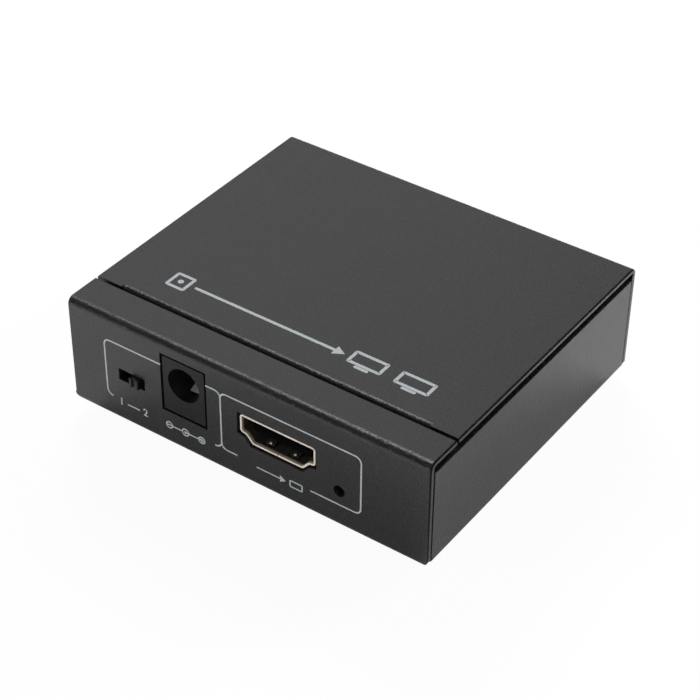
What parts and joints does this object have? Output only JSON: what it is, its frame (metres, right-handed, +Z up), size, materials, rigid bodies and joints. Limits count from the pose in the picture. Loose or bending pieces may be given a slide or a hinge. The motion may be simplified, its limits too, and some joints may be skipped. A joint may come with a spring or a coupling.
{
  "type": "video splitter",
  "caption": "Flat black sheet-metal box that copies a video input to further outputs, with video sockets front and back, a round power jack and a slide switch.",
  "frame": {"origin": "centre of the object's footprint, on the surface that its feet rest on", "axes": "+Z up, +X to the right along the front panel, -Y out of the front panel with the power jack"},
  "size_m": [0.072, 0.0638, 0.0235],
  "materials": {
    "case_coat": "satin black powder coat",
    "black_steel": "blackened steel",
    "foot_rubber": "matte",
    "board_black": "black solder mask",
    "plain_steel": "satin",
    "socket_metal": "pale gold flash",
    "socket_plastic": "moulded",
    "contact_gold": "gold flash",
    "jack_plastic": "moulded",
    "switch_plastic": "moulded",
    "light_white": "moulded",
    "light_lens": "clear resin",
    "chip_black": "moulded epoxy",
    "ferrite": "pressed ferrite",
    "can_metal": "drawn",
    "ceramic_tan": "fired ceramic"
  },
  "bodies": {
    "case": {"base_tray": "case_coat", "top_cover": "case_coat", "cover_screws": "black_steel", "switch_frame": "black_steel", "rubber_feet": "foot_rubber", "circuit_board": "board_black", "board_standoffs": "plain_steel", "board_screws": "plain_steel", "jack_center_pin": "plain_steel", "jack_pin_tab": "plain_steel", "jack_sleeve_spring": "plain_steel", "jack_break_contact": "plain_steel", "input_socket_shell": "socket_metal", "output_1_socket_shell": "socket_metal", "output_2_socket_shell": "socket_metal", "input_socket_insulator": "socket_plastic", "output_1_socket_insulator": "socket_plastic", "output_2_socket_insulator": "socket_plastic", "input_socket_contacts": "contact_gold", "output_1_socket_contacts": "contact_gold", "output_2_socket_contacts": "contact_gold", "switch_terminals": "contact_gold", "jack_housing": "jack_plastic", "switch_base": "switch_plastic", "power_light": "light_white", "power_light_lens": "light_lens", "splitter_chip": "chip_black", "memory_chips": "chip_black", "regulator_chip": "chip_black", "input_diode": "chip_black", "surge_arrays": "chip_black", "resistors": "chip_black", "capacitor_bases": "chip_black", "power_inductor": "ferrite", "capacitor_cans": "can_metal", "clock_crystal": "can_metal", "ceramic_capacitors": "ceramic_tan"},
    "slider": {"switch_slider": "switch_plastic", "switch_wiper": "contact_gold"}
  },
  "joints": [
    {"name": "switch_slide", "type": "slide", "parent": "case", "child": "slider", "axis": [-1, 0, 0], "range_m": [0, 0.002]}
  ]
}
